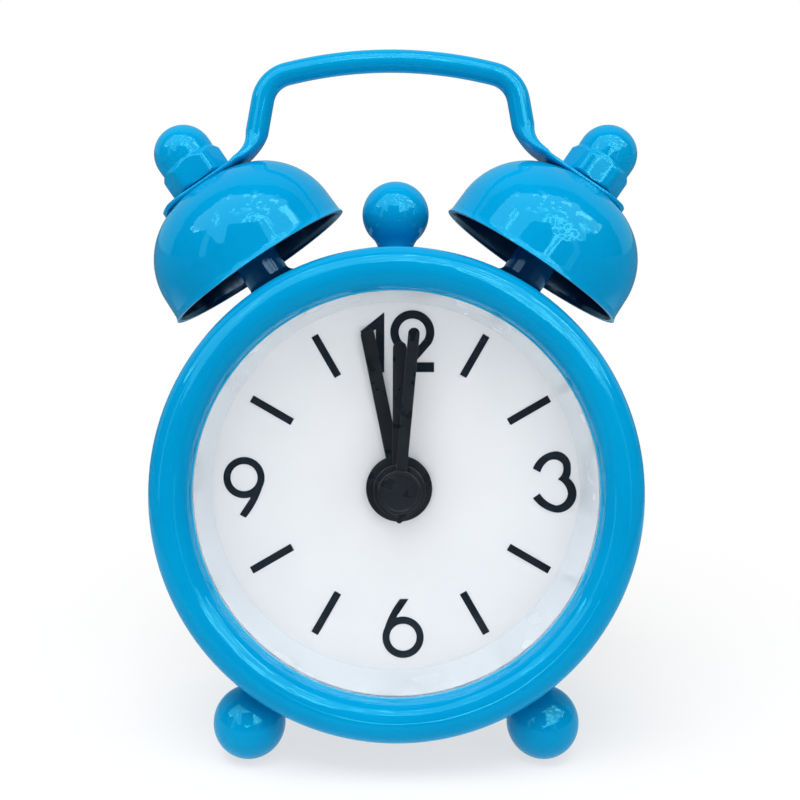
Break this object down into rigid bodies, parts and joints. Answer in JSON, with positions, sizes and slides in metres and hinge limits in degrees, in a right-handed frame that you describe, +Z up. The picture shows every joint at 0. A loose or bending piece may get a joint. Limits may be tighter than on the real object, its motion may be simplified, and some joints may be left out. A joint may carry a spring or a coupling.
{
  "type": "mini alarm clock",
  "caption": "Small round bedside alarm clock with decorative bells, a wire handle, ball feet and a quartz movement.",
  "frame": {"origin": "middle of the footprint's bounding box, on the table that the clock stands on", "axes": "+Z up, the dial faces -Y and leans back, +X to the right as seen from the front"},
  "size_m": [0.0442, 0.0284, 0.0605],
  "materials": {
    "blue_paint": "glossy sky-blue enamel",
    "clear_lens": "clear, polished",
    "white_plastic": "smooth white",
    "dial_white": "flat white",
    "print_black": "printed, satin",
    "hand_black": "satin black",
    "black_plastic": "fine grain",
    "steel": "plated steel",
    "natural_plastic": "moulded, satin",
    "grey_plastic": "moulded, satin",
    "magnet": "sintered, dull",
    "silicon_steel": "stamped",
    "copper_wire": "enamelled wire",
    "board_green": "solder resist",
    "black_epoxy": "potted",
    "nickel": "nickel plated",
    "brass_strip": "rolled strip"
  },
  "bodies": {
    "case": {"front_bezel": "blue_paint", "lens": "clear_lens", "case_drum": "blue_paint", "dial_ring": "white_plastic", "dial": "dial_white", "dial_markings": "print_black", "top_ball": "blue_paint", "foot_left": "blue_paint", "foot_right": "blue_paint", "knob_screws": "steel", "bell_left": "blue_paint", "bell_post_left": "blue_paint", "cap_nut_left": "blue_paint", "bell_right": "blue_paint", "bell_post_right": "blue_paint", "cap_nut_right": "blue_paint", "bell_studs": "steel", "stud_nuts": "steel", "handle": "blue_paint", "movement_front_plate": "grey_plastic", "movement_middle_plate": "grey_plastic", "movement_rear_plate": "grey_plastic", "stator": "silicon_steel", "coil_core": "silicon_steel", "coil_bobbin": "natural_plastic", "coil_winding": "copper_wire", "circuit_board": "board_green", "chip": "black_epoxy", "quartz_crystal": "nickel", "buzzer": "black_plastic", "alarm_contact_spring": "brass_strip", "movement_screws": "steel", "case_screws": "steel", "rear_cover": "black_plastic", "button_cell": "nickel", "battery_contact_negative": "brass_strip", "battery_contact_positive": "brass_strip"},
    "minute_hand_body": {"minute_hand": "hand_black", "cannon_pinion": "natural_plastic"},
    "minute_wheel_body": {"minute_wheel": "natural_plastic", "time_set_knob": "black_plastic"},
    "hour_hand_body": {"hour_hand": "hand_black", "hour_wheel": "natural_plastic"},
    "alarm_hand_body": {"alarm_hand": "hand_black", "alarm_wheel": "natural_plastic"},
    "alarm_setting_body": {"alarm_setting_pinion": "natural_plastic", "alarm_set_knob": "black_plastic"},
    "centre_wheel_body": {"centre_wheel": "natural_plastic"},
    "third_wheel_body": {"third_wheel": "natural_plastic"},
    "fourth_wheel_body": {"fourth_wheel": "natural_plastic"},
    "relay_wheel_body": {"relay_wheel": "natural_plastic"},
    "rotor_body": {"rotor": "magnet"},
    "alarm_switch_body": {"alarm_switch": "black_plastic"},
    "battery_cover_body": {"battery_cover": "black_plastic"}
  },
  "joints": [
    {"name": "minute_hand_turn", "type": "hinge", "parent": "case", "child": "minute_hand_body", "pos_m": [0.00028, -0.00041, 0.02184], "axis": [0, 0.9765, -0.2155], "continuous": true},
    {"name": "minute_wheel_turn", "type": "hinge", "parent": "case", "child": "minute_wheel_body", "pos_m": [-0.00572, -0.00041, 0.02184], "axis": [0, 0.9765, -0.2155], "continuous": true},
    {"name": "hour_hand_turn", "type": "hinge", "parent": "case", "child": "hour_hand_body", "pos_m": [0.00028, -0.00041, 0.02184], "axis": [0, 0.9765, -0.2155], "continuous": true},
    {"name": "alarm_hand_turn", "type": "hinge", "parent": "case", "child": "alarm_hand_body", "pos_m": [0.00028, -0.00041, 0.02184], "axis": [0, 0.9765, -0.2155], "continuous": true},
    {"name": "alarm_setting_turn", "type": "hinge", "parent": "case", "child": "alarm_setting_body", "pos_m": [0.00628, -0.00041, 0.02184], "axis": [0, 0.9765, -0.2155], "continuous": true},
    {"name": "rotor_turn", "type": "hinge", "parent": "case", "child": "rotor_body", "pos_m": [-0.00526, -0.00242, 0.01273], "axis": [0, 0.9765, -0.2155], "continuous": true},
    {"name": "relay_wheel_turn", "type": "hinge", "parent": "case", "child": "relay_wheel_body", "pos_m": [-0.00263, -0.00221, 0.01366], "axis": [0, 0.9765, -0.2155], "continuous": true},
    {"name": "fourth_wheel_turn", "type": "hinge", "parent": "case", "child": "fourth_wheel_body", "pos_m": [0.00133, -0.00218, 0.0138], "axis": [0, 0.9765, -0.2155], "continuous": true},
    {"name": "third_wheel_turn", "type": "hinge", "parent": "case", "child": "third_wheel_body", "pos_m": [0.00266, -0.0013, 0.01781], "axis": [0, 0.9765, -0.2155], "continuous": true},
    {"name": "centre_wheel_turn", "type": "hinge", "parent": "case", "child": "centre_wheel_body", "pos_m": [0.00028, -0.00041, 0.02184], "axis": [0, 0.9765, -0.2155], "continuous": true},
    {"name": "alarm_switch_slide", "type": "slide", "parent": "case", "child": "alarm_switch_body", "axis": [0, 0.2155, 0.9765], "range_m": [0, 0.003]},
    {"name": "battery_cover_twist", "type": "hinge", "parent": "case", "child": "battery_cover_body", "pos_m": [0, 0.01141, 0.03132], "axis": [0, 0.9765, -0.2155], "range_deg": [0, 35]}
  ],
  "couplings": [
    {"joint": "minute_wheel_turn", "follows": "minute_hand_turn", "ratio": -0.33333},
    {"joint": "hour_hand_turn", "follows": "minute_hand_turn", "ratio": 0.083333},
    {"joint": "alarm_setting_turn", "follows": "alarm_hand_turn", "ratio": -3},
    {"joint": "relay_wheel_turn", "follows": "rotor_turn", "ratio": -0.16667},
    {"joint": "fourth_wheel_turn", "follows": "rotor_turn", "ratio": 0.033333},
    {"joint": "third_wheel_turn", "follows": "rotor_turn", "ratio": -0.0041667},
    {"joint": "centre_wheel_turn", "follows": "rotor_turn", "ratio": 0.00055556}
  ]
}
